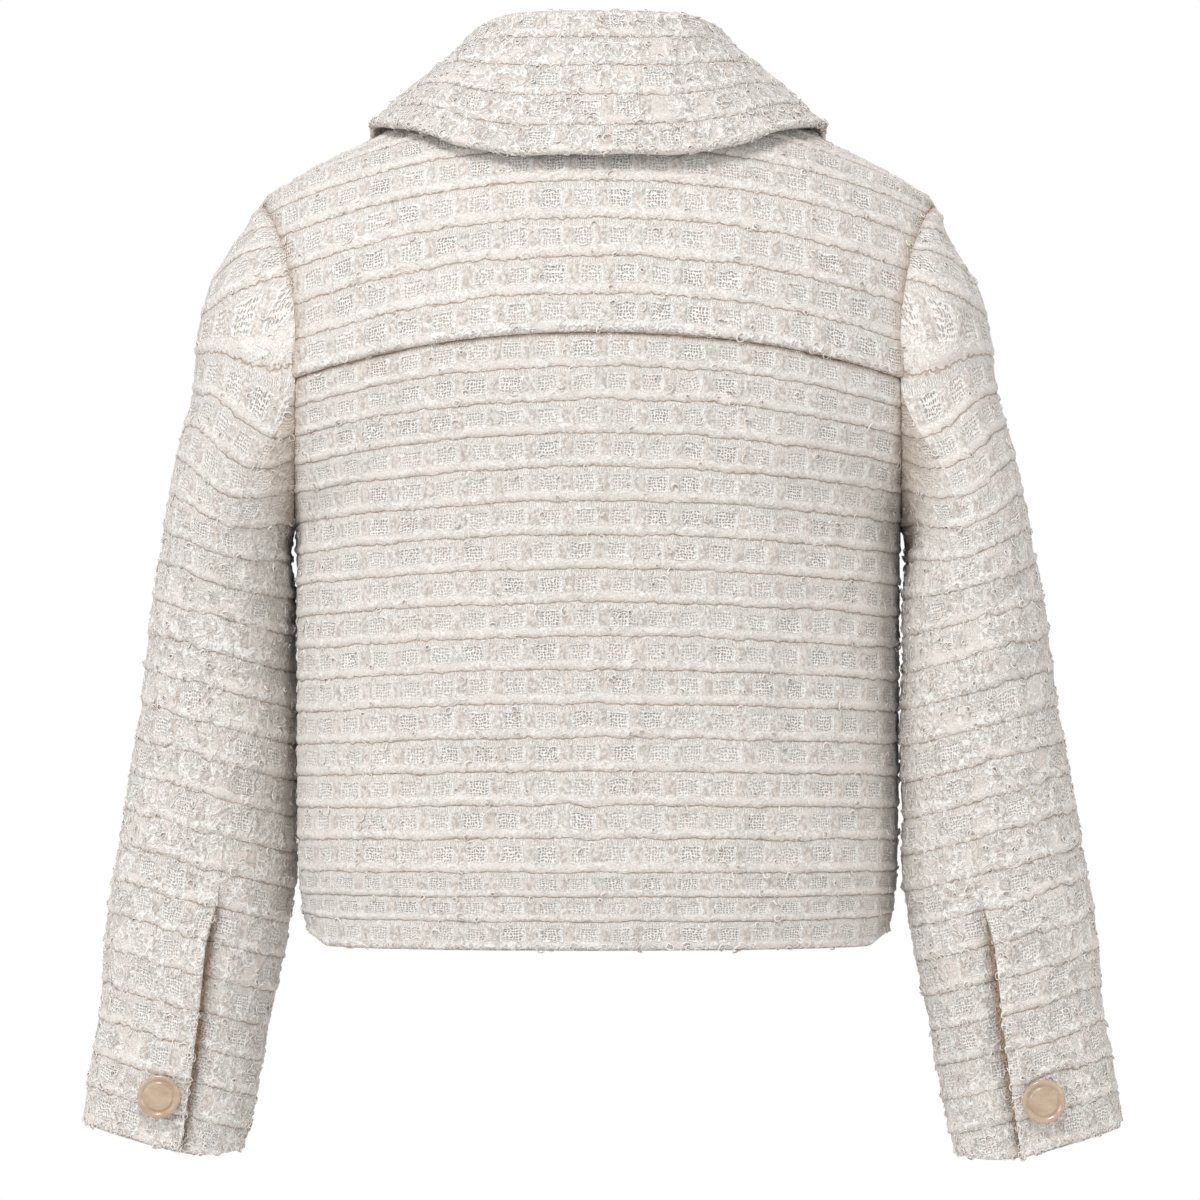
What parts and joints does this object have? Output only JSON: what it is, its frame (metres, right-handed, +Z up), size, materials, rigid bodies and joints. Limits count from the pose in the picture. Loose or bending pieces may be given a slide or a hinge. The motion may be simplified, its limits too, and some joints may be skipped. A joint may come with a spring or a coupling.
{
  "type": "cropped tweed jacket",
  "caption": "Cropped boxy jacket in ivory boucle tweed with a wide turned-down collar, lapped back yoke, long sleeves with lapped cuff vents and large tan buttons; worn form, hollow inside",
  "frame": {"origin": "middle of the neck opening, level with the neck seam at the centre back, where the wearer's neck and shoulders hold the jacket", "axes": "+Z is up along the wearer's spine, +Y is towards the back of the jacket, +X is the wearer's left"},
  "size_m": [0.6211, 0.2576, 0.6826],
  "materials": {
    "tweed": "matte boucle tweed, ivory with greyer hollows",
    "button": "glossy tan horn-like resin"
  },
  "bodies": {
    "root": {"back_panel": "tweed", "back_yoke": "tweed", "front_left": "tweed", "front_right": "tweed", "sleeve_upper_left": "tweed", "sleeve_upper_right": "tweed", "sleeve_under_left": "tweed", "sleeve_under_right": "tweed", "collar": "tweed", "cuff_button_left": "button", "cuff_button_right": "button", "front_button_1": "button", "front_button_2": "button", "front_button_3": "button", "front_button_4": "button", "front_button_5": "button"}
  },
  "joints": []
}
